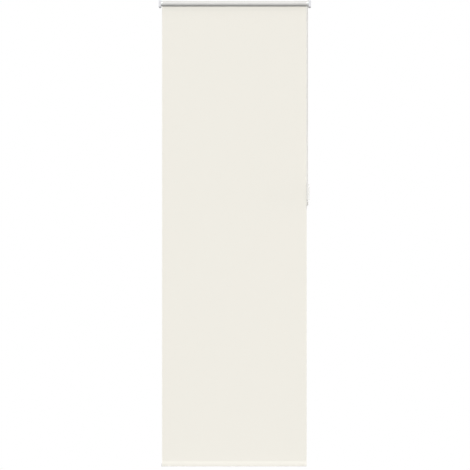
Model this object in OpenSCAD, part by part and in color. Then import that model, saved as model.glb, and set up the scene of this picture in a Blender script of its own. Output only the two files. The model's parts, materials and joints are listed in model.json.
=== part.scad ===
// Blackout roller blind on two wall brackets, with a bead chain drive, shown fully lowered.
// +X is to the right seen from the room, +Y points into the wall and +Z is up.
// The wall is the plane y = 0. The origin is the centre of the four wall screw holes,
// which lies level with the axis of the roller.

/* [Blind] */
// Width over the two end covers
blind_w = 750; // [500:10:1200]
// Height from the top of the end covers to the underside of the hem
blind_h = 2300; // [1500:10:2600]
// Distance from the wall to the axis of the roller
axis_out = 28; // [26:0.5:36]

/* [Brackets and covers] */
// Width of one end cover, seen from the room
cover_w = 11.8; // [10:0.1:16]
// Height of the end covers
cover_h = 39; // [36:0.5:48]
// Distance from the axis of the roller to the front of the covers
cover_reach = 20; // [18:0.5:26]
// Wall of the moulded covers
cover_wall = 1.3; // [1:0.1:1.8]
// Radius of the covers' front corners, seen from the side
cover_corner = 6; // [3:0.5:9]
// Radius of the covers' outer corners, seen from the front
cover_edge = 4.5; // [3:0.5:6]
// Thickness of the steel brackets
plate_t = 1.5; // [1:0.1:2]
// Gap between a bracket and its cover
plate_fit = 0.3; // [0.1:0.05:0.5]
// Inner radius of the brackets' bend
bend_r = 1; // [0.5:0.1:1.5]
// Radius of the wall screw holes
hole_r = 2.25; // [1.5:0.05:2.6]
// Height between the two screw holes of one bracket
hole_span = 20; // [14:0.5:24]
// Distance from a bracket's inner face to its screw holes
hole_out = 6; // [5.5:0.1:6.6]

/* [Roller] */
// Outer radius of the roller tube
tube_r = 12.5; // [11.5:0.1:16]
// Wall of the roller tube
tube_wall = 1; // [0.8:0.1:1.5]
// Width of the ribs inside the tube
rib_w = 2; // [1.5:0.1:3]
// Height of the ribs inside the tube
rib_h = 1.4; // [1:0.1:1.8]
// Gap between the tube and the pieces inside it
core_gap = 0.1; // [0.05:0.01:0.2]

/* [Cloth] */
// Thickness of the coated cloth
cloth_t = 0.45; // [0.3:0.01:0.7]
// Turns left on the roller when the blind is down
turns = 2.5; // [1.5:0.5:5]
// Gap from one turn to the next
turn_gap = 0.05; // [0.02:0.01:0.1]
// Distance from the left end of the tube to the cloth
cloth_margin = 1.1; // [0.4:0.1:3]
// Distance from the cloth's right edge to the chain holder
cloth_gap = 0.4; // [0.3:0.1:1]

/* [Hem] */
// Height of the hem
hem_h = 32; // [28:0.5:45]
// Height of the weld above the pocket
weld_h = 6; // [1:0.1:8]
// Height of the bottom bar
bar_h = 14; // [12:0.5:20]
// Thickness of the bottom bar
bar_t = 4.2; // [3.6:0.1:6]
// Wall of the bottom bar
bar_wall = 1; // [0.8:0.1:1.4]
// Gap between the bar and the hem
bar_fit = 0.15; // [0.1:0.05:0.3]
// Distance that the bar has slid out of the hem on the left
bar_shift = 3.6; // [0:0.1:8]
// Thickness of the bar's end caps
cap_t = 2; // [1.5:0.1:3]
// Length of the caps' plugs inside the bar
cap_plug = 10; // [6:0.5:15]

/* [Chain] */
// Radius of the beads
bead_r = 2.25; // [2:0.05:2.4]
// Distance from bead to bead
bead_pitch = 6; // [5.8:0.1:6.6]
// Radius of the cord that the beads are moulded on
link_r = 0.75; // [0.5:0.05:0.9]
// Pitches in each straight run of the loop
run_pitches = 164; // [120:1:180]

/* [Clutch] */
// Distance from the tube's surface in to the bead circle, to the nearest whole pair of pockets
wheel_step = 2.8; // [2.6:0.1:3]
// Gap between a bead and its pocket
pocket_gap = 0.1; // [0.05:0.01:0.2]
// Width of the wheel's walls beside its pockets
wheel_side = 0.55; // [0.4:0.05:1]
// Height of the wheel's rim above the bead circle
wheel_lip = 1.1; // [0.6:0.1:1.6]
// Gap between the chain wheel and the guard's plate
wheel_gap = 0.4; // [0.3:0.05:0.6]
// Length of the wheel's neck inside the tube
neck_l = 5; // [4:0.5:8]
// Length of the dogs that drive the spool
dog_l = 3; // [2:0.1:4]
// Width of the dogs
dog_w = 4; // [3:0.1:5]
// Wall of the spool round its spring chamber
spool_wall = 4; // [3.6:0.1:4.4]
// Running clearance on the hub
run_gap = 0.05; // [0.03:0.01:0.1]
// Distance that the corners of the hub's square end lie inside its round part
key_inset = 0.16; // [0.1:0.02:0.4]
// Gap round the hub's square end
key_gap = 0.1; // [0.05:0.01:0.2]
// Length of the spool inside the tube
spool_l = 34; // [30:0.5:60]
// Length of the spool's bearing on the hub
bearing_l = 6; // [4:0.5:8]
// Radius of the wrap springs' wire
wrap_wire_r = 0.5; // [0.4:0.05:0.6]
// Turns of one wrap spring
wrap_turns = 5; // [4:1:7]
// Wall of the chain guard
guard_wall = 1.6; // [1.2:0.1:2]
// Thickness of the guard's plate
guard_plate = 1.8; // [1.4:0.1:2.4]
// Distance from the guard's rim to the covers' top and bottom
guard_inset = 1; // [0.5:0.1:2]
// Width of the guard's two slots for the chain
slot_w = 6; // [5.6:0.1:8]
// Thickness of the clip that holds the spool on the hub
clip_t = 1; // [0.8:0.1:1.4]

/* [Idle end] */
// Thickness of the idle plug's flange
flange_t = 2.7; // [2:0.1:5]
// Height of the flange above the tube
flange_lip = 0.6; // [0.2:0.1:1.2]
// Gap between the flange and its bracket
flange_gap = 0.5; // [0.3:0.05:1]
// Length of the idle plug inside the tube
plug_l = 42; // [38:0.5:60]
// Radius of the idle pin
pin_r = 3; // [2.5:0.05:3.5]
// Clearance round the idle pin
pin_gap = 0.05; // [0.03:0.01:0.1]
// Length of pin that stands out past the bracket
pin_past = 1.9; // [1.5:0.1:2.5]
// Length of the pin's guide in the plug
guide_l = 8; // [6:0.5:12]
// Height of the pin's collar above the pin
collar_lip = 1.6; // [1:0.1:2]
// Thickness of the pin's collar
collar_t = 3; // [2:0.1:4]
// Travel of the idle pin into the plug
pin_travel = 4.2; // [3.8:0.1:6]
// Radius of the pin spring's wire
pin_wire_r = 0.4; // [0.3:0.05:0.45]
// Turns of the pin's spring
pin_turns = 7; // [5:1:9]

/* [Chain holder] */
// Height of the holder above the middle of its saddle
holder_h = 97; // [70:1:120]
// Height of the opening below the holder's front wall, above the saddle's middle
holder_open = 16; // [12:0.5:24]
// Wall of the holder
holder_wall = 1; // [0.8:0.1:1.6]
// Gap between the chain and the holder's sides
holder_side_gap = 0.35; // [0.3:0.05:0.8]
// Gap between the chain and the holder's front and back
holder_front_gap = 0.3; // [0.3:0.05:0.6]
// Gap between the beads and the saddle
saddle_gap = 0.3; // [0.1:0.05:0.5]
// Thickness of the holder's wall plate
ear_t = 2.5; // [2:0.1:4]
// Width of the holder's wall plate beside the housing
ear_w = 8; // [7:0.1:12]
// Radius of the holder's screw holes
ear_hole_r = 2.1; // [1.5:0.05:2.4]
// Distance from the holder's screw holes to the ends of its wall plate
ear_hole_in = 14; // [8:0.5:20]

/* [Hidden] */
$fn = 64;

white = [0.92, 0.92, 0.92];
cream = [0.94, 0.93, 0.89];
coated = [0.91, 0.91, 0.91];
clear = [0.9, 0.91, 0.92];
steel = [0.62, 0.63, 0.65];
bare_metal = [0.75, 0.76, 0.78];

// Length by which a cut runs past the face that it opens
past = 1;

// Places along the roller, from the brackets inwards
axis_y = -axis_out;
end_x = blind_w / 2;
plate_in = end_x - cover_w;
plate_out = plate_in + plate_t;
flange_x = -plate_in + flange_gap;
tube_left = flange_x + flange_t;
guard_in = plate_in - guard_plate;
wheel_w = 2 * (bead_r + pocket_gap + wheel_side);
wheel_out = guard_in - wheel_gap;
wheel_in = wheel_out - wheel_w;
chain_x = wheel_in + wheel_w / 2;
channel_w = 2 * (bead_r + holder_side_gap);
holder_left = chain_x - channel_w / 2 - holder_wall;
holder_right = chain_x + channel_w / 2 + holder_wall;
cloth_left = tube_left + cloth_margin;
cloth_right = holder_left - cloth_gap;

// Brackets
bracket_inset = cover_wall + plate_fit;
plate_front = axis_out + cover_reach - bracket_inset;
bend_out = bend_r + plate_t;

// Roller and roll
tube_in = tube_r - tube_wall;
core_r = tube_in - rib_h - core_gap;
turn_pitch = cloth_t + turn_gap;
roll_r = tube_r + turn_gap + cloth_t + turns * turn_pitch;
roll_steps = 48;
rib_angles = [90, 270];
core_rib_angles = [0, 74, 106, 180, 254, 286];

// Hem
hem_bottom = cover_h / 2 - blind_h;
hem_top = hem_bottom + hem_h;
pocket_low = hem_bottom + cloth_t + bar_fit + bar_t / 2;
pocket_mid = pocket_low + bar_h - bar_t;
pocket_top = hem_top - weld_h;
fold_steps = 24;
panel_y = roll_r - cloth_t;
hem_y = panel_y + cloth_t;
bar_z = (pocket_low + pocket_mid) / 2;
bar_left = cloth_left - bar_shift;
bar_right = cloth_right - bar_shift;

// Chain wheel and clutch
pockets = 2 * round(PI * (tube_r - wheel_step) / bead_pitch);
pocket_angle = 360 / pockets;
bead_circle = bead_pitch / (2 * sin(pocket_angle / 2));
link_circle = bead_circle * cos(pocket_angle / 2);
wheel_r = bead_circle + wheel_lip;
wheel_flange_t = wheel_side - pocket_gap / 2;
groove_gap = 0.4;
groove_w = 2 * (link_r + groove_gap);
groove_r = link_circle - link_r - groove_gap;
wrap_gap = 0.2;
chamber_gap = 0.3;
chamber_r = core_r - spool_wall;
wrap_r = chamber_r - chamber_gap - wrap_wire_r;
hub_r = wrap_r - wrap_wire_r - wrap_gap;
key_w = sqrt(2) * (hub_r - key_inset);
spool_gap = 0.2;
spool_right = wheel_in - neck_l - spool_gap;
spool_left = spool_right - spool_l;
hub_clip_gap = 0.3;
hub_tail = 1.5;
clip_right = spool_left - hub_clip_gap;
clip_left = clip_right - clip_t;
clip_depth = 0.8;
clip_lip = 2.2;
hub_left = clip_left - hub_tail;
key_past = 1.5;
wrap_coil_gap = 0.06;
wrap_pitch = 2 * wrap_wire_r + wrap_coil_gap;
wrap_l = wrap_turns * wrap_pitch;
wrap_flare = 1.2;
wrap_flare_arc = 40;
chamber_left = spool_left + bearing_l;
wrap_end_gap = 3;
wrap_between = 2;
wrap_first = chamber_left + wrap_end_gap;
wrap_starts = [wrap_first, wrap_first + wrap_l + wrap_between];
dog_side = 0.3;
guard_r = cover_h / 2 - guard_inset;
guard_rim_gap = 0.4;

// Idle end
plug_right = tube_left + plug_l;
guide_right = flange_x + guide_l;
collar_r = pin_r + collar_lip;
pin_left = -plate_out - pin_past;
pin_tip_l = 0.8;
collar_gap = 0.2;
pin_chamber_r = collar_r + collar_gap;
stem_step = 1;
stem_r = pin_r - stem_step;
stem_gap = 0.3;
cap_l = 4;
stem_stop = 0.3;
stem_l = plug_right - cap_l - guide_right - collar_t - pin_travel - stem_stop;
cap_lip = 1.5;
cap_flange_t = 1.2;
pin_spring_gap = 0.15;
pin_spring_r = stem_r + stem_gap + pin_wire_r;
pin_spring_left = guide_right + collar_t + pin_spring_gap + pin_wire_r;
pin_spring_l = plug_right - cap_l - pin_spring_gap - pin_wire_r - pin_spring_left;
coil_steps = 18;
coil_sides = 6;

// Chain and its holder
run_l = run_pitches * bead_pitch;
saddle_z = -run_l;
bead_reach = bead_circle + bead_r;
channel_y = bead_reach + holder_front_gap;
holder_y = channel_y + holder_wall;
holder_back_wall = 0.9;
holder_back = channel_y + holder_back_wall;
holder_top = saddle_z + holder_h;
holder_front_z = saddle_z + holder_open;
saddle_r = bead_circle - bead_r - saddle_gap;
cheek_lip = 0.6;
cheek_r = saddle_r + cheek_lip;
ear_right = holder_right + ear_w;
ear_corner = 3;
ear_hole_x = holder_right + ear_w / 2;
ear_holes = [holder_top - ear_hole_in, holder_front_z + ear_hole_in];

// Carries an outline along X. Its own x and y become y and z, counted from the roller's axis.
module along_x(x0, x1) {
    translate([x0, axis_y, 0])
        rotate([90, 0, 90])
            linear_extrude(x1 - x0)
                children();
}

// Upright oval of the given height and thickness, about its middle
module oval(h, t) {
    square([t, h - t], center = true);
    for (s = [-1, 1])
        translate([0, s * (h - t) / 2])
            circle(d = t);
}

// Side view of an end cover, moved in by inset: open to the wall, with round front corners
module side_outline(inset, past_wall) {
    r = cover_corner - inset;
    front = inset - cover_reach;
    half_h = cover_h / 2 - inset;
    translate([front + r, -half_h])
        square([axis_out + past_wall - front - r, 2 * half_h]);
    translate([front, r - half_h])
        square([2 * r, 2 * (half_h - r)]);
    for (s = [-1, 1])
        translate([front + r, s * (half_h - r)])
            circle(r);
}

// Front view of an end cover, moved in by inset: open to the roller, with round outer corners
module front_outline(inset, past_plate) {
    r = cover_edge - inset;
    half_h = cover_h / 2 - inset;
    right = end_x - inset;
    translate([plate_in - past_plate, -half_h])
        square([right - r - plate_in + past_plate, 2 * half_h]);
    translate([right - 2 * r, r - half_h])
        square([2 * r, 2 * (half_h - r)]);
    for (s = [-1, 1])
        translate([right - r, s * (half_h - r)])
            circle(r);
}

// The room that an end cover takes up, moved in by inset
module end_form(inset, past_open) {
    depth = axis_out + cover_reach;
    intersection() {
        along_x(plate_in - past_open, end_x - inset)
            side_outline(inset, past_open);
        translate([0, past_open, 0])
            rotate([90, 0, 0])
                linear_extrude(depth + past_open)
                    front_outline(inset, past_open);
    }
}

// Right-hand cover: a thin moulded box, open to the wall and to the roller
module end_cover() {
    difference() {
        end_form(0, 0);
        end_form(cover_wall, past);
    }
}

// Plan of a bracket: side plate, bend and the flange on the wall
module bracket_plan() {
    bend_x = plate_in + bend_out;
    translate([plate_in, -plate_front])
        square([plate_t, plate_front - bend_out]);
    translate([bend_x, -plate_t])
        square([end_x - bend_x, plate_t]);
    intersection() {
        translate([bend_x, -bend_out])
            difference() {
                circle(bend_out);
                circle(bend_r);
            }
        translate([plate_in, -bend_out])
            square(bend_out);
    }
}

// Right-hand bracket, pressed from sheet steel. The child is its cut-out on the roller's axis.
module bracket() {
    difference() {
        intersection() {
            translate([0, 0, -cover_h / 2])
                linear_extrude(cover_h)
                    bracket_plan();
            end_form(bracket_inset, 0);
        }
        along_x(plate_in - past, plate_out + past)
            children();
        for (s = [-1, 1])
            translate([plate_in + hole_out, past, s * hole_span / 2])
                rotate([90, 0, 0])
                    cylinder(r = hole_r, h = plate_t + 2 * past);
    }
}

module left_bracket() {
    color(white)
        mirror([1, 0, 0])
            bracket()
                circle(pin_r + pin_gap);
}

module right_bracket() {
    color(white)
        bracket()
            square(key_w + 2 * key_gap, center = true);
}

module left_cover() {
    color(white)
        mirror([1, 0, 0])
            end_cover();
}

module right_cover() {
    color(white)
        end_cover();
}

// Fixed axle of the clutch. Its square end is held by the guard and the bracket.
module clutch_hub() {
    color(white)
        difference() {
            union() {
                along_x(hub_left, guard_in)
                    circle(hub_r);
                along_x(guard_in, plate_out + key_past)
                    square(key_w, center = true);
            }
            along_x(clip_left, clip_right)
                difference() {
                    circle(hub_r + past);
                    circle(hub_r - clip_depth);
                }
        }
}

// Open spring clip in the groove at the hub's inner end
module hub_clip() {
    color(steel)
        along_x(clip_left, clip_right)
            difference() {
                circle(hub_r + clip_lip);
                circle(hub_r - clip_depth);
                translate([clip_depth - hub_r, -hub_r - clip_lip - past])
                    square([2 * (hub_r - clip_depth), hub_r + clip_lip + past]);
            }
}

// Round moulded cup over the chain wheel, with a slot for each run of the chain
module chain_guard() {
    color(white)
        difference() {
            union() {
                along_x(guard_in, plate_in)
                    circle(guard_r);
                along_x(wheel_in + guard_rim_gap, guard_in)
                    difference() {
                        circle(guard_r);
                        circle(guard_r - guard_wall);
                    }
            }
            along_x(guard_in - past, plate_in + past)
                square(key_w + 2 * key_gap, center = true);
            for (s = [-1, 1])
                along_x(wheel_in, guard_in)
                    translate([s * bead_circle - slot_w / 2, -guard_r - past])
                        square([slot_w, guard_r + past]);
        }
}

// Outline of the holder's cheeks: straight sides that narrow to a round end under the saddle
module cheek_outline(back) {
    translate([-holder_y, holder_front_z])
        square([holder_y + back, holder_top - holder_front_z]);
    polygon([
        [-holder_y, holder_front_z],
        [-cheek_r, saddle_z],
        [cheek_r, saddle_z],
        [holder_back, holder_front_z]
    ]);
    translate([0, saddle_z])
        circle(cheek_r);
}

// Moulded holder on the wall: the chain runs down a channel and round a fixed saddle
module chain_holder() {
    color(clear)
        difference() {
            union() {
                difference() {
                    union() {
                        along_x(holder_left, holder_right)
                            cheek_outline(holder_back);
                        along_x(holder_right - holder_wall, holder_right)
                            cheek_outline(axis_out);
                    }
                    along_x(chain_x - channel_w / 2, chain_x + channel_w / 2)
                        translate([-channel_y, saddle_z - holder_open])
                            square([2 * channel_y, holder_h + 2 * holder_open]);
                }
                along_x(holder_left, holder_right)
                    translate([0, saddle_z])
                        circle(saddle_r);
                rotate([90, 0, 0])
                    linear_extrude(ear_t)
                        ear_outline();
            }
            along_x(holder_left - past, holder_right + past)
                translate([0, saddle_z])
                    circle(saddle_r - holder_wall);
            for (z = ear_holes)
                translate([ear_hole_x, past, z])
                    rotate([90, 0, 0])
                        cylinder(r = ear_hole_r, h = ear_t + 2 * past);
        }
}

// Front view of the holder's wall plate, with round outer corners
module ear_outline() {
    left = holder_right - holder_wall;
    translate([left, holder_front_z])
        square([ear_right - ear_corner - left, holder_top - holder_front_z]);
    translate([ear_right - 2 * ear_corner, holder_front_z + ear_corner])
        square([2 * ear_corner, holder_top - holder_front_z - 2 * ear_corner]);
    for (z = [holder_front_z + ear_corner, holder_top - ear_corner])
        translate([ear_right - ear_corner, z])
            circle(ear_corner);
}

// One straight run of the chain, turned from the outline of its beads and cord
module chain_run() {
    rotate_extrude()
        intersection() {
            union() {
                for (k = [0 : run_pitches])
                    translate([0, -k * bead_pitch])
                        circle(bead_r);
                translate([0, -run_l])
                    square([link_r, run_l]);
            }
            translate([0, -run_l - bead_pitch])
                square([bead_pitch, run_l + 2 * bead_pitch]);
        }
}

// Half a turn of the chain, bead by bead, with a straight cord from each bead to the next
module chain_turn(from) {
    steps = pockets / 2;
    for (k = [1 : steps - 1])
        rotate([from + k * pocket_angle, 0, 0])
            translate([0, bead_circle, 0])
                sphere(bead_r);
    for (k = [0 : steps - 1])
        rotate([from + (k + 0.5) * pocket_angle, 0, 0])
            translate([0, link_circle, 0])
                cylinder(r = link_r, h = bead_pitch - bead_r, center = true);
}

// Endless chain over the wheel and under the holder's saddle
module bead_chain() {
    color(white)
        translate([chain_x, axis_y, 0]) {
            for (s = [-1, 1])
                translate([0, s * bead_circle, 0])
                    chain_run();
            chain_turn(0);
            translate([0, 0, saddle_z])
                chain_turn(180);
        }
}

// Extruded tube with two inner ribs that drive it
module roller_tube() {
    color(bare_metal)
        along_x(tube_left, wheel_in) {
            difference() {
                circle(tube_r);
                circle(tube_in);
            }
            for (a = rib_angles)
                rotate(a)
                    translate([tube_in - rib_h, -rib_w / 2])
                        square([rib_h + tube_wall / 2, rib_w]);
        }
}

// Section of a piece inside the tube: a round core with ribs that reach the tube's wall
module core_section() {
    circle(core_r);
    for (a = core_rib_angles)
        rotate(a)
            translate([0, -rib_w / 2])
                square([tube_in - core_gap, rib_w]);
}

// Two dogs, or the notches that take them, at opposite sides of the hub
module dog_section(gap) {
    for (s = [-1, 1])
        translate([s * (core_r + chamber_r) / 2, 0])
            square([core_r - chamber_r - 2 * dog_side + gap, dog_w + 2 * gap], center = true);
}

// Chain wheel with a pocket for each bead and a groove for the cord between them.
// Each pocket also clears the bead where the straight chain has just lifted it out, on either side.
module drive_wheel() {
    color(white)
        difference() {
            union() {
                along_x(wheel_in, wheel_out)
                    circle(wheel_r);
                along_x(wheel_in, wheel_in + wheel_flange_t)
                    circle(tube_r);
                along_x(wheel_in - neck_l, wheel_in)
                    circle(core_r);
                along_x(wheel_in - neck_l - dog_l, wheel_in)
                    dog_section(0);
            }
            along_x(wheel_in - neck_l - dog_l - past, wheel_out + past)
                circle(hub_r + run_gap);
            along_x(chain_x - groove_w / 2, chain_x + groove_w / 2)
                difference() {
                    circle(wheel_r + past);
                    circle(groove_r);
                }
            translate([chain_x, axis_y, 0])
                for (k = [0 : pockets - 1])
                    rotate([k * pocket_angle, 0, 0])
                        translate([0, bead_circle, 0]) {
                            for (z = [-bead_pitch, 0, bead_pitch])
                                translate([0, 0, z])
                                    sphere(bead_r + pocket_gap);
                            rotate([-90, 0, 0])
                                cylinder(r = bead_r + pocket_gap, h = wheel_lip + past);
                        }
        }
}

// Ribbed spool that turns the tube, with the chamber of the two wrap springs
module drive_spool() {
    slot_half = wrap_r * sin(wrap_flare_arc);
    color(white)
        difference() {
            along_x(spool_left, spool_right)
                core_section();
            along_x(spool_left - past, spool_right)
                circle(hub_r + run_gap);
            along_x(chamber_left, spool_right + past) {
                circle(chamber_r);
                translate([0, -slot_half])
                    square([chamber_r + wrap_flare, 2 * slot_half]);
            }
            along_x(spool_right - dog_l - spool_gap, spool_right + past)
                dog_section(spool_gap);
        }
}

// Radius of a coil's wire at an angle, with both ends bent outwards by flare over the given arc
function coil_r(r, a, full, flare, arc) = r + flare * max(0, 1 - min(a, full - a) / arc);

// Corners of a coil about X: coil_sides points round the wire at each step along it
function coil_points(r, wire_r, turn_count, pitch, flare, arc) = [
    for (i = [0 : turn_count * coil_steps])
        for (j = [0 : coil_sides - 1])
            let (a = i * 360 / coil_steps)
            let (b = j * 360 / coil_sides)
            let (reach = coil_r(r, a, turn_count * 360, flare, arc) + wire_r * cos(b))
            [pitch * a / 360 + wire_r * sin(b), reach * cos(a), reach * sin(a)]
];

// Triangles of a coil: its wall, then its two ends
function coil_faces(turn_count) =
    let (n = coil_sides)
    let (last = turn_count * coil_steps)
    concat(
        [for (i = [0 : last - 1], j = [0 : n - 1])
            [i * n + j, (i + 1) * n + j, (i + 1) * n + (j + 1) % n]],
        [for (i = [0 : last - 1], j = [0 : n - 1])
            [i * n + j, (i + 1) * n + (j + 1) % n, i * n + (j + 1) % n]],
        [[for (j = [0 : n - 1]) j]],
        [[for (j = [n - 1 : -1 : 0]) last * n + j]]
    );

// Spring wound about the roller's axis, from x0 to the right
module coil(x0, r, wire_r, turn_count, pitch, flare, arc) {
    translate([x0, axis_y, 0])
        polyhedron(
            coil_points(r, wire_r, turn_count, pitch, flare, arc),
            coil_faces(turn_count)
        );
}

// Two springs that grip the hub, and let go when a dog pushes one of their bent ends
module wrap_springs() {
    color(steel)
        for (x = wrap_starts)
            coil(x, wrap_r, wrap_wire_r, wrap_turns, wrap_pitch, wrap_flare, wrap_flare_arc);
}

// Ribbed plug in the tube's left end, bored for the pin and its spring
module idle_plug() {
    color(white)
        difference() {
            union() {
                along_x(flange_x, tube_left)
                    circle(tube_r + flange_lip);
                along_x(tube_left, plug_right)
                    core_section();
            }
            along_x(flange_x - past, guide_right + past)
                circle(pin_r + pin_gap);
            along_x(guide_right, plug_right + past)
                circle(pin_chamber_r);
        }
}

// Cap pushed into the plug, against which the pin's spring bears
module idle_plug_cap() {
    color(white) {
        along_x(plug_right - cap_l, plug_right)
            circle(pin_chamber_r - core_gap / 2);
        along_x(plug_right, plug_right + cap_flange_t)
            circle(pin_chamber_r + cap_lip);
    }
}

// Sprung pin that carries the roller's left end in the bracket
module idle_pin() {
    color(steel) {
        translate([pin_left, axis_y, 0])
            rotate([0, 90, 0])
                cylinder(r1 = pin_r - pin_tip_l, r2 = pin_r, h = pin_tip_l);
        along_x(pin_left + pin_tip_l, guide_right)
            circle(pin_r);
        along_x(guide_right, guide_right + collar_t)
            circle(collar_r);
        along_x(guide_right + collar_t, guide_right + collar_t + stem_l)
            circle(stem_r);
    }
}

module idle_pin_spring() {
    color(steel)
        coil(pin_spring_left, pin_spring_r, pin_wire_r, pin_turns, pin_spring_l / pin_turns, 0, 1);
}

// Point of the rolled cloth after the given angle, at the given depth from its outer face.
// The angle starts at the back, where the cloth leaves the roll, and goes over the top.
function roll_point(a, depth) =
    let (r = roll_r - depth - turn_pitch * a / 360)
    [r * cos(a), r * sin(a)];

// The turns of cloth on the tube, as one strip wound inwards
module fabric_roll() {
    last = round(turns * roll_steps);
    color(coated)
        along_x(cloth_left, cloth_right)
            polygon(concat(
                [for (i = [0 : last]) roll_point(i * 360 / roll_steps, 0)],
                [for (i = [last : -1 : 0]) roll_point(i * 360 / roll_steps, cloth_t)]
            ));
}

// The cloth that hangs from the back of the roll
module fabric_panel() {
    color(cream)
        along_x(cloth_left, cloth_right)
            translate([panel_y, hem_top])
                square([cloth_t, -hem_top]);
}

// Points of the fold under the bar, from the front round to the back
function fold_points(r) = [
    for (i = [0 : fold_steps])
        let (a = 180 + 180 * i / fold_steps)
        [r * cos(a), pocket_low + r * sin(a)]
];

// Pocket for the bottom bar: upright beside the bar, then leaning in to where the cloth is welded to itself
module fabric_hem() {
    inner_r = bar_t / 2 + bar_fit;
    outer_r = inner_r + cloth_t;
    color(cream)
        along_x(cloth_left, cloth_right)
            translate([hem_y, 0])
                difference() {
                    polygon(concat(fold_points(outer_r), [
                        [outer_r, pocket_mid],
                        [cloth_t, pocket_top],
                        [cloth_t, hem_top],
                        [-cloth_t, hem_top],
                        [-cloth_t, pocket_top],
                        [-outer_r, pocket_mid]
                    ]));
                    polygon(concat(fold_points(inner_r), [
                        [inner_r, pocket_mid],
                        [0, pocket_top],
                        [-inner_r, pocket_mid]
                    ]));
                }
}

// Hollow oval bar that weighs the cloth down
module bottom_bar() {
    color(white)
        along_x(bar_left + cap_t, bar_right - cap_t)
            translate([hem_y, bar_z])
                difference() {
                    oval(bar_h, bar_t);
                    oval(bar_h - 2 * bar_wall, bar_t - 2 * bar_wall);
                }
}

// End cap of the bar: an oval lid with a plug that fits the bar's hollow.
// The side is 1 for the left end and -1 for the right.
module bar_cap(x, side) {
    hollow = 2 * (bar_wall + core_gap);
    color(white)
        translate([x, axis_y + hem_y, bar_z])
            rotate([90, 0, 90]) {
                translate([0, 0, side > 0 ? 0 : -cap_t])
                    linear_extrude(cap_t)
                        oval(bar_h, bar_t);
                translate([0, 0, side > 0 ? cap_t : -cap_t - cap_plug])
                    linear_extrude(cap_plug)
                        oval(bar_h - hollow, bar_t - hollow);
            }
}

module left_bar_cap() {
    bar_cap(bar_left, 1);
}

module right_bar_cap() {
    bar_cap(bar_right, -1);
}

left_bracket();
right_bracket();
left_cover();
right_cover();
clutch_hub();
hub_clip();
chain_guard();
chain_holder();
bead_chain();
roller_tube();
drive_wheel();
drive_spool();
wrap_springs();
idle_plug();
idle_plug_cap();
fabric_roll();
idle_pin();
idle_pin_spring();
fabric_panel();
fabric_hem();
bottom_bar();
left_bar_cap();
right_bar_cap();
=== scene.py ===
import json
import math

import bpy
import numpy as np
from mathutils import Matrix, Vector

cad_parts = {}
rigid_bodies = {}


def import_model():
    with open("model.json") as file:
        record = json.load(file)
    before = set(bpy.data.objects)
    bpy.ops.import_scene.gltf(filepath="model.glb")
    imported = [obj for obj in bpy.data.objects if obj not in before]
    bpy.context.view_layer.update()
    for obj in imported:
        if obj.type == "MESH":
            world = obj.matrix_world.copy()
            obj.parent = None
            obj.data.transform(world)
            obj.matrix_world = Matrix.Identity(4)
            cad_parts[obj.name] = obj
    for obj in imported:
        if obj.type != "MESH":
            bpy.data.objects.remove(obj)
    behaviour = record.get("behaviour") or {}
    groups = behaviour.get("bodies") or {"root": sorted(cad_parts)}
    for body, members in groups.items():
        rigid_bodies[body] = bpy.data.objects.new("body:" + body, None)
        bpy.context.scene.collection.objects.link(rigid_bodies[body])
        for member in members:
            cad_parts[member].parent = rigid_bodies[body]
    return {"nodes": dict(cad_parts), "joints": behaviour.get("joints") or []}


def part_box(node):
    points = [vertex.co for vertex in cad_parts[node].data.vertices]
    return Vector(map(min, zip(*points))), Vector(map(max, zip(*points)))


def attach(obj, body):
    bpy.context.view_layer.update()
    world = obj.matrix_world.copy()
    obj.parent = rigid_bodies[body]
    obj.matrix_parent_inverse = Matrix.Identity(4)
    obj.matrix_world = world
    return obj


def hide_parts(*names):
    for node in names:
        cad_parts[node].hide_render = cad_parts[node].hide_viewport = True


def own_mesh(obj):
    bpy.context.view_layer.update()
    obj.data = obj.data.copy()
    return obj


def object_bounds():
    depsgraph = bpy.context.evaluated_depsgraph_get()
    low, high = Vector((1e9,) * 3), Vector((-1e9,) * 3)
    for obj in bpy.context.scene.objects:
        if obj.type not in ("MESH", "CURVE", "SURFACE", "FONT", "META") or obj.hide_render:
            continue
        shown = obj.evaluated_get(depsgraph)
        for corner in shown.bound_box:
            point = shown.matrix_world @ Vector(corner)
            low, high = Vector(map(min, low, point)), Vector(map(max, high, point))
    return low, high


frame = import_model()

cad_low, cad_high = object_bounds()

# Camera. It looks square on at the blind through a long lens, so that head and hem show hardly any slant.
# The picture's scale and place come from the blind's own outline in the photograph, in its pixels.
PHOTO_PX = 470
BLIND_WIDE_PX = 152.2
BLIND_MIDDLE_PX = 234.83
BLIND_TOP_PX = -0.2
LENS_MM = 250.0
SENSOR_MM = 36.0

scene = bpy.context.scene
pixel = (cad_high.x - cad_low.x) / BLIND_WIDE_PX
camera_data = bpy.data.cameras.new("camera")
camera_data.lens = LENS_MM
camera_data.sensor_width = SENSOR_MM
camera = bpy.data.objects.new("camera", camera_data)
scene.collection.objects.link(camera)
camera.location = (
    (PHOTO_PX / 2 - BLIND_MIDDLE_PX) * pixel,
    (cad_low.y + cad_high.y) / 2 - PHOTO_PX * pixel * LENS_MM / SENSOR_MM,
    cad_high.z - (PHOTO_PX / 2 - BLIND_TOP_PX) * pixel,
)
camera.rotation_euler = (math.radians(90), 0, 0)
scene.camera = camera

# Wall brackets. Each is pressed from sheet steel, bent once and powder coated white.
# The side plate carries the roller and the flange is screwed to the wall, out of sight under its cover.
BRACKET_WHITE = (0.78, 0.78, 0.775)
BRACKET_SHADE = (0.70, 0.70, 0.70)
NOISE_DETAIL = 2.0
GRAIN_DETAIL = 3.0
DRIFT_COARSER = 40.0
DRIFT_SHARE = 0.4

nodes = frame["nodes"]


def feed(tree, socket, value):
    """Links another node's output to an input socket, or sets a number or a vector on it."""
    if isinstance(value, bpy.types.NodeSocket):
        tree.links.new(value, socket)
    else:
        socket.default_value = value


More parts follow.
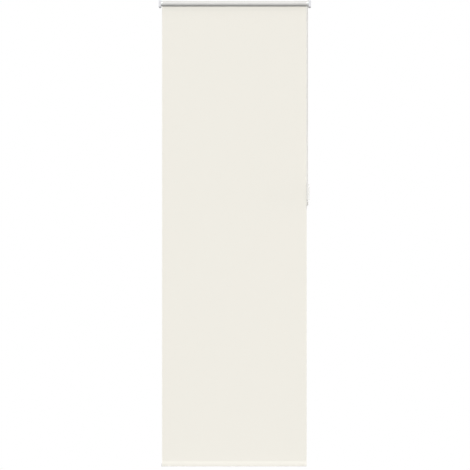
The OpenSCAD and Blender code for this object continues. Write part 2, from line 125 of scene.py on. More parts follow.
def math_node(tree, operation, *values):
    """The output of a Math node whose inputs are numbers or other nodes' outputs."""
    node = tree.nodes.new("ShaderNodeMath")
    node.operation = operation
    for socket, value in zip(node.inputs, values):
        feed(tree, socket, value)
    return node.outputs[0]


def noise_node(tree, place, scale, detail=NOISE_DETAIL):
    """The output, from 0 to 1, of noise of the given scale at a place."""
    node = tree.nodes.new("ShaderNodeTexNoise")
    feed(tree, node.inputs["Vector"], place)
    feed(tree, node.inputs["Scale"], scale)
    feed(tree, node.inputs["Detail"], detail)
    return node.outputs["Fac"]


def pattern_group(name, count):
    """An empty node group that takes a Vector and a count to the metre and puts out a Tone and a Height,
    with the sockets at its two ends."""
    group = bpy.data.node_groups.new(name, "ShaderNodeTree")
    group.interface.new_socket("Vector", in_out="INPUT", socket_type="NodeSocketVector")
    group.interface.new_socket(count, in_out="INPUT", socket_type="NodeSocketFloat")
    group.interface.new_socket("Tone", in_out="OUTPUT", socket_type="NodeSocketFloat")
    group.interface.new_socket("Height", in_out="OUTPUT", socket_type="NodeSocketFloat")
    return group, group.nodes.new("NodeGroupInput").outputs, group.nodes.new("NodeGroupOutput").inputs


def make_grain():
    """Grain of a moulded or coated surface. Tone is noise that drifts over the piece, DRIFT_COARSER times
    coarser than the grains. Height is fine noise, Grains to the metre, plus DRIFT_SHARE of the drift."""
    group, given, made = pattern_group("surface_grain", "Grains")
    drift_scale = math_node(group, "DIVIDE", given["Grains"], DRIFT_COARSER)
    drift = noise_node(group, given["Vector"], drift_scale)
    grains = noise_node(group, given["Vector"], given["Grains"], GRAIN_DETAIL)
    feed(group, made["Tone"], drift)
    feed(group, made["Height"], math_node(group, "MULTIPLY_ADD", drift, DRIFT_SHARE, grains))
    return group


surface_grain = make_grain()


def patterned_material(name, group, settings, source, colours, roughness, depth, constants=None):
    """A Principled finish driven by a pattern group with a Tone and a Height.
    Tone mixes the two colours and the two roughnesses, and Height is a bump of the given depth in metres.
    source names the coordinates that the pattern is laid on. constants are set on the shader's own sockets.
    Of the Mix node's sockets, inputs 6 and 7 are the two colours and output 2 is their mix."""
    material = bpy.data.materials.new(name)
    material.use_nodes = True
    tree = material.node_tree
    shader = tree.nodes["Principled BSDF"]
    for socket, value in (constants or {}).items():
        shader.inputs[socket].default_value = value
    coordinates = tree.nodes.new("ShaderNodeTexCoord")
    pattern = tree.nodes.new("ShaderNodeGroup")
    pattern.node_tree = group
    for socket, value in settings.items():
        pattern.inputs[socket].default_value = value
    tint = tree.nodes.new("ShaderNodeMix")
    tint.data_type = "RGBA"
    tint.inputs[6].default_value = (*colours[0], 1.0)
    tint.inputs[7].default_value = (*colours[1], 1.0)
    polish = tree.nodes.new("ShaderNodeMapRange")
    polish.inputs["To Min"].default_value = roughness[0]
    polish.inputs["To Max"].default_value = roughness[1]
    bump = tree.nodes.new("ShaderNodeBump")
    bump.inputs["Distance"].default_value = depth
    tree.links.new(coordinates.outputs[source], pattern.inputs["Vector"])
    tree.links.new(pattern.outputs["Tone"], tint.inputs[0])
    tree.links.new(tint.outputs[2], shader.inputs["Base Color"])
    tree.links.new(pattern.outputs["Tone"], polish.inputs["Value"])
    tree.links.new(polish.outputs["Result"], shader.inputs["Roughness"])
    tree.links.new(pattern.outputs["Height"], bump.inputs["Height"])
    tree.links.new(bump.outputs["Normal"], shader.inputs["Normal"])
    return material


def dress(material, *names):
    """Gives the named CAD pieces a finish."""
    for name in names:
        nodes[name].data.materials.clear()
        nodes[name].data.materials.append(material)


bracket_coat = patterned_material(
    "powder_coat", surface_grain, {"Grains": 900.0}, "Object",
    colours=(BRACKET_WHITE, BRACKET_SHADE), roughness=(0.42, 0.55), depth=0.00006,
)
dress(bracket_coat, "left_bracket", "right_bracket")

# Clutch hub, chain guard, chain wheel, spool, idle plug and plug cap. All are moulded in white acetal,
# slick and a little waxy. The hub's square end is keyed into the right bracket and traps the guard there.
# Wheel and spool turn on the hub, and the plug, closed by its cap, is pushed into the tube's other end.
ACETAL = (0.73, 0.73, 0.725)
ACETAL_SHADE = (0.68, 0.68, 0.675)

acetal = patterned_material(
    "white_acetal", surface_grain, {"Grains": 1600.0}, "Object",
    colours=(ACETAL, ACETAL_SHADE), roughness=(0.32, 0.45), depth=0.00003,
    constants={"Subsurface Weight": 0.08, "Subsurface Scale": 0.002},
)
dress(acetal, "clutch_hub", "chain_guard", "drive_wheel", "drive_spool", "idle_plug", "idle_plug_cap")

# Spring clip, wrap springs, idle pin and its spring. Wire and rod of drawn steel, lightly oiled.
# The wrap springs grip the hub and hold the blind at any height. The idle pin is pushed in to hang
# the roller, and its own spring, which bears on the plug's cap, shortens and drives it out again.
STEEL = (0.56, 0.56, 0.57)
STEEL_SHADE = (0.42, 0.42, 0.43)
LINE_STRETCH = 60.0
LINES_FINER = 4.0
SHARP_DEG = 40.0
PIN_SPRING_TURNS = 7
PIN_WIRE_R = 0.0004
COIL_STEPS = 36
WIRE_SIDES = 10


def scaled_place(tree, place, factors):
    """A place multiplied by one factor along each axis."""
    node = tree.nodes.new("ShaderNodeVectorMath")
    node.operation = "MULTIPLY"
    feed(tree, node.inputs[0], place)
    feed(tree, node.inputs[1], factors)
    return node.outputs[0]


def make_drawn_lines():
    """Lines that drawing or extruding leaves along X, Lines to the metre. Tone and Height are both noise
    that is stretched LINE_STRETCH times along X, and the noise of Height is LINES_FINER times finer."""
    group, given, made = pattern_group("drawn_lines", "Lines")
    stretched = scaled_place(group, given["Vector"], (1 / LINE_STRETCH, 1.0, 1.0))
    finer = math_node(group, "MULTIPLY", given["Lines"], LINES_FINER)
    feed(group, made["Tone"], noise_node(group, stretched, given["Lines"]))
    feed(group, made["Height"], noise_node(group, stretched, finer))
    return group


drawn_lines = make_drawn_lines()
spring_steel = patterned_material(
    "drawn_steel", drawn_lines, {"Lines": 1500.0}, "Object",
    colours=(STEEL, STEEL_SHADE), roughness=(0.22, 0.38), depth=0.00001, constants={"Metallic": 1.0},
)
dress(spring_steel, "hub_clip", "wrap_springs", "idle_pin")

joints = {joint["name"]: joint for joint in frame["joints"]}
axis_y, axis_z = joints["roller_turn"]["pos_m"][1:]
spring_low, spring_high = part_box("idle_pin_spring")
spring_long = spring_high.x - spring_low.x


def quad_piece(name, points, quads, material, point_uv=None):
    """A mesh object of quads with its faces outwards: they are turned over if the volume that they enclose,
    the sum of a . (b x c) over the two triangles of every quad, comes out negative."""
    a, b, c, d = (points[quads[:, k]] for k in range(4))
    volume = (a * np.cross(b, c)).sum() + (a * np.cross(c, d)).sum()
    if volume < 0:
        quads = quads[:, ::-1]
    mesh = bpy.data.meshes.new(name)
    mesh.vertices.add(len(points))
    mesh.vertices.foreach_set("co", points.astype(np.float32).ravel())
    mesh.loops.add(quads.size)
    mesh.loops.foreach_set("vertex_index", quads.astype(np.int32).ravel())
    mesh.polygons.add(len(quads))
    mesh.polygons.foreach_set("loop_start", np.arange(0, quads.size, 4, dtype=np.int32))
    mesh.update(calc_edges=True)
    mesh.validate()
    mesh.polygons.foreach_set("use_smooth", np.ones(len(quads), dtype=bool))
    mesh.set_sharp_from_angle(angle=math.radians(SHARP_DEG))
    if point_uv is not None:
        layer = mesh.uv_layers.new(name="cloth")
        layer.data.foreach_set("uv", point_uv[quads.ravel()].astype(np.float32).ravel())
    mesh.materials.append(material)
    piece = bpy.data.objects.new(name, mesh)
    scene.collection.objects.link(piece)
    return piece


def capped_tube(row_count, around):
    """Quads of a tube whose rows of points go round it: each row is joined to the next,
    and a strip of quads from one half of the first and of the last row to the other closes the ends."""
    index = np.arange(row_count * around).reshape(-1, around)
    beside = np.roll(index, -1, axis=1)
    wall = np.stack([index[:-1], beside[:-1], beside[1:], index[1:]], axis=-1).reshape(-1, 4)
    step = np.arange(around // 2 - 1)
    ends = [
        np.stack([row[step], row[around - 1 - step], row[around - 2 - step], row[step + 1]], axis=-1)
        for row in (index[0], index[-1])
    ]
    return np.concatenate([wall, ends[0], ends[1][:, ::-1]])


def wire_coil():
    """Points of the pin's spring, (steps, sides, 3), about the roller's axis. At the coil's angle a the
    wire's middle has gone along X by an even share of the length, and a point of the wire at its own
    angle b stands the coil's radius plus r cos b from the axis, and r sin b further along."""
    coil_r = (spring_high.z - spring_low.z) / 2 - PIN_WIRE_R
    a = np.linspace(0.0, 2 * math.pi * PIN_SPRING_TURNS, PIN_SPRING_TURNS * COIL_STEPS + 1)[:, None]
    b = np.arange(WIRE_SIDES)[None, :] * 2 * math.pi / WIRE_SIDES
    along = spring_low.x + PIN_WIRE_R + (spring_long - 2 * PIN_WIRE_R) * a / a[-1] + PIN_WIRE_R * np.sin(b)
    reach = coil_r + PIN_WIRE_R * np.cos(b)
    return np.stack([along, axis_y + reach * np.cos(a), axis_z + reach * np.sin(a)], axis=-1)


wire = wire_coil()
pin_spring = quad_piece("pin_spring", wire.reshape(-1, 3), capped_tube(*wire.shape[:2]), spring_steel)
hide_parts("idle_pin_spring")
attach(pin_spring, "roller")
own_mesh(pin_spring)

# Roller tube. An aluminium extrusion with two inner ribs, cut to length and left as it comes off the press.
# The ribbed plug and spool are pushed into its ends, and the cloth is taped along it.
TUBE_ALUMINIUM = (0.70, 0.71, 0.73)
TUBE_SHADE = (0.58, 0.59, 0.61)

tube_metal = patterned_material(
    "mill_aluminium", drawn_lines, {"Lines": 700.0}, "Object",
    colours=(TUBE_ALUMINIUM, TUBE_SHADE), roughness=(0.30, 0.46), depth=0.00002,
    constants={"Metallic": 1.0},
)
dress(tube_metal, "roller_tube")

# Roll of cloth. The turns that stay on the tube when the blind is down, wound over the top,
# so that the cloth leaves at the back and its coated reverse faces the room.
CLOTH_CREAM = (0.872, 0.848, 0.778)
CLOTH_SHADE = (0.855, 0.830, 0.758)
COAT_WHITE = (0.698, 0.692, 0.672)
COAT_SHADE = (0.665, 0.658, 0.638)
ROLL_STEPS = 64
ROLL_COLUMNS = 40
ROLL_TURNS = 2.5
TURN_PITCH = 0.0005
EDGE_WANDER = 0.00025
WANDERS_PER_TURN = 1.7
THREADS = 1500.0
YARN_ALONG = 12.0
YARN_ACROSS = 700.0

panel_low, panel_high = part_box("fabric_panel")
roll_low, roll_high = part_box("fabric_roll")
cloth_t = panel_high.y - panel_low.y
roll_r = roll_high.y - axis_y


def make_weave():
    """Plain weave on a cloth's own metres. Height is |sin u| times |sin v|, one bump to a crossing,
    Threads to the metre. Tone is the mean of two noises, one drawn out along the weft and one along
    the warp, as thicker yarns show."""
    group, given, made = pattern_group("plain_weave", "Threads")
    split = group.nodes.new("ShaderNodeSeparateXYZ")
    feed(group, split.inputs[0], given["Vector"])
    half_turns = math_node(group, "MULTIPLY", given["Threads"], math.pi)
    waves = [
        math_node(group, "SINE", math_node(group, "MULTIPLY", split.outputs[direction], half_turns))
        for direction in ("X", "Y")
    ]
    crossing = math_node(group, "MULTIPLY", *waves)
    feed(group, made["Height"], math_node(group, "ABSOLUTE", crossing))
    weft = noise_node(group, scaled_place(group, given["Vector"], (YARN_ALONG, YARN_ACROSS, 1.0)), 1.0)
    warp = noise_node(group, scaled_place(group, given["Vector"], (YARN_ACROSS, YARN_ALONG, 1.0)), 1.0)
    warp_half = math_node(group, "MULTIPLY", warp, 0.5)
    feed(group, made["Tone"], math_node(group, "MULTIPLY_ADD", weft, 0.5, warp_half))
    return group


plain_weave = make_weave()
coated_reverse = patterned_material(
    "coated_reverse", plain_weave, {"Threads": THREADS}, "UV",
    colours=(COAT_WHITE, COAT_SHADE), roughness=(0.55, 0.68), depth=0.00002,
)
cream_weave = patterned_material(
    "cream_weave", plain_weave, {"Threads": THREADS}, "UV",
    colours=(CLOTH_CREAM, CLOTH_SHADE), roughness=(0.80, 0.90), depth=0.00004,
)


def cloth_sheet(name, face, back, face_uv, face_finish, back_finish):
    """A sheet of cloth from the points of its two faces, both (rows, columns, 3).
    Each row runs along the face and returns along the back, so that the rows make a capped tube.
    face_uv is the cloth's own place in metres, (rows, columns, 2).
    The return along the back has the second finish."""
    rows = np.concatenate([face, back[:, ::-1]], axis=1)
    row_uv = np.concatenate([face_uv, face_uv[:, ::-1]], axis=1)
    row_count, around = rows.shape[:2]
    quads = capped_tube(row_count, around)
    piece = quad_piece(name, rows.reshape(-1, 3), quads, face_finish, row_uv.reshape(-1, 2))
    piece.data.materials.append(back_finish)
    face_number = np.arange(len(quads))
    column = face_number % around
    on_wall = face_number < (row_count - 1) * around
    on_back = on_wall & (column >= around // 2) & (column < around - 1)
    piece.data.polygons.foreach_set("material_index", on_back.astype(np.int32))
    return piece


def laid_along(path, normals, columns, thickness):
    """Face and back of a sheet whose middle line follows path, (n, 2) in y and z,
    half the thickness to either side of it along normals. columns is the x of each column, (n, m)."""
    faces = []
    for side in (0.5, -0.5):
        edge = path + side * thickness * normals
        faces.append(np.stack([
            columns,
            np.broadcast_to(edge[:, :1], columns.shape),
            np.broadcast_to(edge[:, 1:], columns.shape),
        ], axis=-1))
    return faces


def path_metres(path, columns):
    """The cloth's own metres on a sheet: across is the column's x, along is the length of path so far."""
    steps = np.linalg.norm(np.diff(path, axis=0), axis=1)
    along = np.concatenate([[0.0], np.cumsum(steps)])
    return np.stack([columns, np.broadcast_to(along[:, None], columns.shape)], axis=-1)


# The roll is a spiral. At the angle a from its back, the cloth's middle stands the roll's radius, less half
# the cloth and less one pitch for each turn so far, from the axis. Its edges wander along X as a sine of a.
turn_angle = np.linspace(0.0, ROLL_TURNS * 2 * math.pi, int(ROLL_TURNS * ROLL_STEPS) + 1)
turn_radius = roll_r - cloth_t / 2 - TURN_PITCH * turn_angle / (2 * math.pi)
turn_normals = np.stack([np.cos(turn_angle), np.sin(turn_angle)], axis=-1)
roll_path = turn_radius[:, None] * turn_normals + (axis_y, axis_z)
wander = EDGE_WANDER * np.sin(WANDERS_PER_TURN * turn_angle)
roll_columns = np.linspace(roll_low.x, roll_high.x, ROLL_COLUMNS)[None, :] + wander[:, None]
roll_face, roll_back = laid_along(roll_path, turn_normals, roll_columns, cloth_t)
cloth_roll = cloth_sheet(
    "cloth_roll", roll_face, roll_back, path_metres(roll_path, roll_columns), coated_reverse, cream_weave
)
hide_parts("fabric_roll")
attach(cloth_roll, "roller")

# Hanging cloth. Woven polyester, cream on the room side and coated to keep the light out, with cut edges.
# It drops from the back of the roll, and its sides cup a little towards the wall between roll and bar.
PANEL_ROWS = 220
PANEL_COLUMNS = 64
JOIN_GAP = 0.00005
SIDE_CUP = 0.0012
CUP_REACH = 0.035
SWAY = 0.0006
SWAY_WIDE = 0.9
SWAY_LEAN = 0.2

# The sheet hangs straight down. At the share f of the drop each point is then moved towards the wall by
# sin(pi f) times the sum of a cup, which fades away from the nearer edge, and a sway, a sine of X and f.
panel_z = np.linspace(panel_high.z - JOIN_GAP, panel_low.z, PANEL_ROWS)
panel_drop = panel_high.z - panel_low.z
fall = (panel_high.z - panel_z) / panel_drop
panel_columns = np.linspace(panel_low.x, panel_high.x, PANEL_COLUMNS)[None, :] * np.ones((PANEL_ROWS, 1))
panel_path = np.stack([np.full(PANEL_ROWS, (panel_low.y + panel_high.y) / 2), panel_z], axis=-1)
panel_normals = np.tile((-1.0, 0.0), (PANEL_ROWS, 1))
panel_face, panel_back = laid_along(panel_path, panel_normals, panel_columns, cloth_t)
from_edge = np.minimum(panel_columns - panel_low.x, panel_high.x - panel_columns)
free = np.sin(math.pi * fall)[:, None]
hang = free * (
    SIDE_CUP * np.exp(-from_edge / CUP_REACH)
    + SWAY * np.sin(2 * math.pi * (SWAY_LEAN * fall[:, None] + panel_columns / SWAY_WIDE))
)
panel_face[..., 1] += hang
panel_back[..., 1] += hang
cloth_panel = cloth_sheet(
    "cloth_panel", panel_face, panel_back, path_metres(panel_path, panel_columns),
    cream_weave, coated_reverse,
)
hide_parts("fabric_panel")
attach(cloth_panel, "hem")
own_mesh(cloth_panel)

# Hem. The end of the cloth is folded round the bottom bar, leans in above it and is welded to itself
# along its top, in a row of short pressed dashes.
HEM_COLUMNS = 476
FOLD_STEPS = 17
LEAN_STEPS = 14
SIDE_STEPS = 7
LEAN_EASE = 0.4
WELD_ROWS = 12
WELD_H = 0.006
WELD_PITCH = 0.006
WELD_DASH = 0.7
WELD_DEPTH = 0.00009
PUCKER = 0.00011
PUCKER_SHORT = 0.019
PUCKER_LONG = 0.053

hem_low, hem_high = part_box("fabric_hem")
bar_low, bar_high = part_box("bottom_bar")
pocket_r = (hem_high.y - hem_low.y - cloth_t) / 2
pocket_y = (hem_low.y + hem_high.y) / 2
pocket_top = hem_high.z - WELD_H
lower_z = hem_low.z + cloth_t / 2 + pocket_r
upper_z = lower_z + (bar_high.z - bar_low.z) - (bar_high.y - bar_low.y)


def hem_side(side):
    """The hem's middle line from the weld's top to the foot of the bar, in front (-1) or behind (1).
    It falls straight along the weld, then its distance from the middle grows from half the cloth's
    thickness to the pocket's radius, partly at a steady rate and partly eased at both ends as 3t^2 - 2t^3,
    and it falls straight again beside the bar."""
    down = np.linspace(0.0, 1.0, LEAN_STEPS)
    ease = (1 - LEAN_EASE) * down + LEAN_EASE * down ** 2 * (3 - 2 * down)
    reach = np.concatenate([
        np.full(WELD_ROWS, cloth_t / 2),
        cloth_t / 2 + (pocket_r - cloth_t / 2) * ease,
        np.full(SIDE_STEPS, pocket_r),
    ])
    z = np.concatenate([
        np.linspace(hem_high.z, pocket_top, WELD_ROWS, endpoint=False),
        pocket_top + (upper_z - pocket_top) * down,
        np.linspace(lower_z, upper_z, SIDE_STEPS, endpoint=False)[::-1],
    ])
    return np.stack([pocket_y + side * reach, z], axis=-1)


# The middle line comes down in front, goes half round the foot of the bar and up again behind. Along the
# weld the dashes are pressed in. Below it the face puckers more and more, as a product of two sines of X.
fold_angle = np.linspace(math.pi, 2 * math.pi, FOLD_STEPS)[1:-1]
hem_path = np.concatenate([
    hem_side(-1),
    np.stack([pocket_y + pocket_r * np.cos(fold_angle), lower_z + pocket_r * np.sin(fold_angle)], axis=-1),
    hem_side(1)[::-1],
])
hem_tangents = np.gradient(hem_path, axis=0)
hem_tangents /= np.linalg.norm(hem_tangents, axis=1, keepdims=True)
hem_normals = np.stack([hem_tangents[:, 1], -hem_tangents[:, 0]], axis=-1)
hem_columns = np.linspace(hem_low.x, hem_high.x, HEM_COLUMNS)[None, :] * np.ones((len(hem_path), 1))
hem_face, hem_back = laid_along(hem_path, hem_normals, hem_columns, cloth_t)
in_weld = (hem_path[:, 1] > pocket_top) & (hem_path[:, 1] < hem_high.z - cloth_t / 2)
in_dash = (hem_columns / WELD_PITCH) % 1.0 < WELD_DASH
pressed = WELD_DEPTH * (in_weld[:, None] & in_dash)
slack = np.clip((pocket_top - hem_path[:, 1]) / (pocket_top - upper_z), 0.0, 1.0)[:, None]
pucker = PUCKER * slack * np.sin(hem_columns / PUCKER_SHORT) * np.sin(hem_columns / PUCKER_LONG)
hem_face[..., 1:] += (pucker - pressed)[..., None] * hem_normals[:, None, :]
cloth_hem = cloth_sheet(
    "cloth_hem", hem_face, hem_back, path_metres(hem_path, hem_columns), cream_weave, coated_reverse
)
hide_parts("fabric_hem")
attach(cloth_hem, "hem")

# Bottom bar and its end caps. A hollow oval of aluminium, lacquered white, that weighs the cloth down,
# with moulded caps pushed into its ends. It has slid a little out of the hem on the left.
LACQUER = (0.80, 0.80, 0.80)
LACQUER_SHADE = (0.75, 0.75, 0.75)
CAP_WHITE = (0.76, 0.76, 0.76)
CAP_SHADE = (0.70, 0.70, 0.70)

bar_lacquer = patterned_material(
    "white_lacquer", drawn_lines, {"Lines": 500.0}, "Object",
    colours=(LACQUER, LACQUER_SHADE), roughness=(0.35, 0.45), depth=0.00001,
)
dress(bar_lacquer, "bottom_bar")
cap_plastic = patterned_material(
    "cap_plastic", surface_grain, {"Grains": 1400.0}, "Object",
    colours=(CAP_WHITE, CAP_SHADE), roughness=(0.40, 0.52), depth=0.00004,
)
dress(cap_plastic, "left_bar_cap", "right_bar_cap")

# Bead chain. An endless cord with plastic beads moulded on it, hung over the chain wheel
# and held down at its lower end by the holder on the wall.
CHAIN_WHITE = (0.74, 0.72, 0.66)
CHAIN_SHADE = (0.66, 0.64, 0.58)
BEAD_PITCH = 0.006
BEAD_R = 0.00225
CORD_R = 0.00075
RUN_PITCHES = 164
POCKETS = 10
BEAD_RINGS = 7
BEAD_SIDES = 10
GUARD_PITCHES = 3

chain_low, chain_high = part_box("bead_chain")
chain_x = (chain_low.x + chain_high.x) / 2
bead_circle = BEAD_PITCH / (2 * math.sin(math.pi / POCKETS))
turn_beads = np.arange(1, POCKETS // 2) * 2 * math.pi / POCKETS
run_beads = -BEAD_PITCH * np.arange(RUN_PITCHES + 1)


def half_turn(angles, centre_z):
    """Bead centres on half a turn of the bead circle, by their angle from +Y towards +Z."""
    return np.stack([bead_circle * np.cos(angles), centre_z + bead_circle * np.sin(angles)], axis=-1)


# The beads go down the front run, half round the holder's saddle, up the back run and half round the wheel.
# They are then counted from the one that leaves the guard in front.
bead_yz = np.concatenate([
    np.stack([np.full(RUN_PITCHES + 1, -bead_circle), run_beads], axis=-1),
    half_turn(math.pi + turn_beads, run_beads[-1]),
    np.stack([np.full(RUN_PITCHES + 1, bead_circle), run_beads[::-1]], axis=-1),
    half_turn(turn_beads, 0.0),
])
bead_yz = np.roll(bead_yz, -GUARD_PITCHES, axis=0) + (axis_y, axis_z)
beads = np.column_stack([np.full(len(bead_yz), chain_x), bead_yz])
chain_ahead = np.roll(beads, -1, axis=0) - np.roll(beads, 1, axis=0)
chain_ahead /= np.linalg.norm(chain_ahead, axis=1, keepdims=True)
chain_side = np.array((1.0, 0.0, 0.0))
chain_up = np.cross(chain_ahead, chain_side)
latitude_end = math.acos(CORD_R / BEAD_R)
latitude = np.linspace(-latitude_end, latitude_end, BEAD_RINGS)
round_angle = np.arange(BEAD_SIDES) * 2 * math.pi / BEAD_SIDES


def bead_tube():
    """The chain as one closed tube. Each bead is rings of a sphere: a ring at latitude b lies r sin b
    ahead of the bead's centre and has the radius r cos b. The outer rings have the cord's radius,
    so that the stretch from one bead's last ring to the next bead's first is the cord."""
    spokes = (
        np.cos(round_angle)[None, :, None] * chain_side
        + np.sin(round_angle)[None, :, None] * chain_up[:, None, :]
    )
    points = (
        beads[:, None, None, :]
        + BEAD_R * np.sin(latitude)[None, :, None, None] * chain_ahead[:, None, None, :]
        + BEAD_R * np.cos(latitude)[None, :, None, None] * spokes[:, None, :, :]
    ).reshape(-1, 3)
    index = np.arange(len(points)).reshape(-1, BEAD_SIDES)
    ahead = np.roll(index, -1, axis=0)
    quads = np.stack([
        index, ahead, np.roll(ahead, -1, axis=1), np.roll(index, -1, axis=1)
    ], axis=-1).reshape(-1, 4)
    return points, quads


chain_plastic = patterned_material(
    "chain_plastic", surface_grain, {"Grains": 2500.0}, "Object",
    colours=(CHAIN_WHITE, CHAIN_SHADE), roughness=(0.30, 0.42), depth=0.00002,
)
chain_loop = quad_piece("chain_loop", *bead_tube(), chain_plastic)
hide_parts("bead_chain")
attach(chain_loop, "head")

# Chain holder. Moulded in frosted polycarbonate and screwed to the wall beside the cloth.
# The loop runs down its channel and round a fixed saddle, which keeps the loop taut and close to the wall.
FROST = (0.93, 0.92, 0.89)
FROST_SHADE = (0.89, 0.88, 0.85)

frosted = patterned_material(
    "frosted_polycarbonate", surface_grain, {"Grains": 1200.0}, "Object",
    colours=(FROST, FROST_SHADE), roughness=(0.38, 0.50), depth=0.00004,
    constants={"IOR": 1.58, "Alpha": 0.45},
)
dress(frosted, "chain_holder")

# End covers. Thin boxes moulded in white plastic, with the fine texture of a spark-eroded mould.
# They are pushed over the brackets last and hide the wall screws.
COVER_WHITE = (0.76, 0.76, 0.785)
COVER_SHADE = (0.71, 0.71, 0.735)

cover_plastic = patterned_material(
    "cover_plastic", surface_grain, {"Grains": 1500.0}, "Object",
    colours=(COVER_WHITE, COVER_SHADE), roughness=(0.42, 0.55), depth=0.00005,
)
dress(cover_plastic, "left_cover", "right_cover")

# Stage. A pale floor below the hem fades into the white background. Two lamps shine from the front and
# above, one from behind and one from each side, and a strip lights the hem from below. The works at the
# head don't shade the front lamp, and neither cloth nor holder throws light on the pieces beside it.
FLOOR_DROP = 0.07
FLOOR_HALF = 0.8
FLOOR_PALE = (0.85, 0.85, 0.85)
FLOOR_ROUGHNESS = 0.9
FADE_FROM = 0.25
FADE_TO = 0.95
LAMP_UP_DEG = 36.0
LAMP_SIDE_DEG = 4.0
LAMP_SOFT_DEG = 20.0
LAMP_STRENGTH = 2.7
SOFT_BOX_DEG = 65.0
SOFT_BOX_STRENGTH = 0.3
BACK_UP_DEG = 12.0
BACK_SIDE_DEG = 10.0
BACK_STRENGTH = 2.0
SIDE_UP_DEG = 3.0
SIDE_STRENGTH = 1.0
FILL_STRENGTH = 0.2
STRIP_WIDE = 0.03
STRIP_BELOW = 0.05
STRIP_WATTS = 0.17
LET_THROUGH = (
    "cloth_roll", "roller_tube", "drive_spool", "idle_plug", "idle_plug_cap", "clutch_hub", "hub_clip",
    "wrap_springs", "idle_pin", "pin_spring", "drive_wheel", "chain_guard", "chain_holder",
)
NO_BOUNCE = ("cloth_panel", "chain_holder")

# The world is white where the camera, a reflection or a clear piece shows it, and a weak fill otherwise.
world = bpy.data.worlds.new("studio")
scene.world = world
world.use_nodes = True
world_tree = world.node_tree
fill = world_tree.nodes["Background"]
fill.inputs["Color"].default_value = (1, 1, 1, 1)
fill.inputs["Strength"].default_value = FILL_STRENGTH
white = world_tree.nodes.new("ShaderNodeBackground")
white.inputs["Color"].default_value = (1, 1, 1, 1)
white.inputs["Strength"].default_value = 1.0
rays = world_tree.nodes.new("ShaderNodeLightPath").outputs
mirrored = math_node(world_tree, "MAXIMUM", rays["Is Camera Ray"], rays["Is Glossy Ray"])
shown = math_node(world_tree, "MAXIMUM", mirrored, rays["Is Transmission Ray"])
either_world = world_tree.nodes.new("ShaderNodeMixShader")
world_tree.links.new(shown, either_world.inputs[0])
world_tree.links.new(fill.outputs[0], either_world.inputs[1])
world_tree.links.new(white.outputs[0], either_world.inputs[2])
world_tree.links.new(either_world.outputs[0], world_tree.nodes["World Output"].inputs["Surface"])

floor_mesh = bpy.data.meshes.new("floor")
floor_z = cad_low.z - FLOOR_DROP
floor_corners = [
    (x * FLOOR_HALF, axis_y + y * FLOOR_HALF, floor_z)
    for x, y in ((-1, -1), (1, -1), (1, 1), (-1, 1))
]
floor_mesh.from_pydata(floor_corners, [], [(0, 1, 2, 3)])
floor = bpy.data.objects.new("floor", floor_mesh)
scene.collection.objects.link(floor)
floor.visible_diffuse = False

floor_paint = bpy.data.materials.new("pale_floor")
floor_paint.use_nodes = True
floor_tree = floor_paint.node_tree
floor_shader = floor_tree.nodes["Principled BSDF"]
floor_shader.inputs["Base Color"].default_value = (*FLOOR_PALE, 1)
floor_shader.inputs["Roughness"].default_value = FLOOR_ROUGHNESS
floor_place = floor_tree.nodes.new("ShaderNodeTexCoord")
from_middle = floor_tree.nodes.new("ShaderNodeVectorMath")
from_middle.operation = "DISTANCE"
from_middle.inputs[1].default_value = (0, axis_y, floor_z)
fade = floor_tree.nodes.new("ShaderNodeMapRange")
fade.interpolation_type = "SMOOTHSTEP"
fade.inputs["From Min"].default_value = FADE_FROM * FLOOR_HALF
fade.inputs["From Max"].default_value = FADE_TO * FLOOR_HALF
clear = floor_tree.nodes.new("ShaderNodeBsdfTransparent")
either_floor = floor_tree.nodes.new("ShaderNodeMixShader")
floor_tree.links.new(floor_place.outputs["Object"], from_middle.inputs[0])
floor_tree.links.new(from_middle.outputs["Value"], fade.inputs["Value"])
floor_tree.links.new(fade.outputs["Result"], either_floor.inputs[0])
floor_tree.links.new(floor_shader.outputs[0], either_floor.inputs[1])
floor_tree.links.new(clear.outputs[0], either_floor.inputs[2])
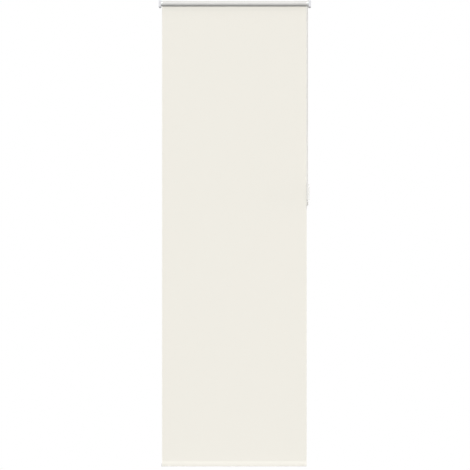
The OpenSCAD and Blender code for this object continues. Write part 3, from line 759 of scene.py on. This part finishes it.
floor_tree.links.new(either_floor.outputs[0], floor_tree.nodes["Material Output"].inputs["Surface"])
floor_mesh.materials.append(floor_paint)


def sun(name, strength, softness, up, side):
    """A lamp far away, up degrees above the level and side degrees to the right of straight ahead,
    as wide in the sky as softness in degrees."""
    data = bpy.data.lights.new(name, "SUN")
    data.energy = strength
    data.angle = math.radians(softness)
    lamp = bpy.data.objects.new(name, data)
    lamp.rotation_euler = (math.radians(90 - up), 0, math.radians(side))
    scene.collection.objects.link(lamp)
    return lamp


front_lamp = sun("front_lamp", LAMP_STRENGTH, LAMP_SOFT_DEG, LAMP_UP_DEG, LAMP_SIDE_DEG)
sun("soft_box", SOFT_BOX_STRENGTH, SOFT_BOX_DEG, LAMP_UP_DEG, LAMP_SIDE_DEG)
sun("back_lamp", BACK_STRENGTH, LAMP_SOFT_DEG, BACK_UP_DEG, 180 + BACK_SIDE_DEG)
sun("left_lamp", SIDE_STRENGTH, LAMP_SOFT_DEG, SIDE_UP_DEG, -90)
sun("right_lamp", SIDE_STRENGTH, LAMP_SOFT_DEG, SIDE_UP_DEG, 90)
strip_data = bpy.data.lights.new("strip_lamp", "AREA")
strip_data.shape = "RECTANGLE"
strip_data.size = cad_high.x - cad_low.x
strip_data.size_y = STRIP_WIDE
strip_data.energy = STRIP_WATTS
strip_lamp = bpy.data.objects.new("strip_lamp", strip_data)
strip_lamp.location = (0, pocket_y, cad_low.z - STRIP_BELOW)
strip_lamp.rotation_euler = (math.pi, 0, 0)
strip_lamp.visible_camera = False
scene.collection.objects.link(strip_lamp)
unshading = bpy.data.collections.new("shades_nothing")
for place, name in enumerate(LET_THROUGH):
    unshading.objects.link(bpy.data.objects[name])
    unshading.collection_objects[place].light_linking.link_state = "EXCLUDE"
front_lamp.light_linking.blocker_collection = unshading
for name in NO_BOUNCE:
    bpy.data.objects[name].visible_diffuse = False

# View. Colours are shown as they are written.
scene.view_settings.view_transform = "Standard"
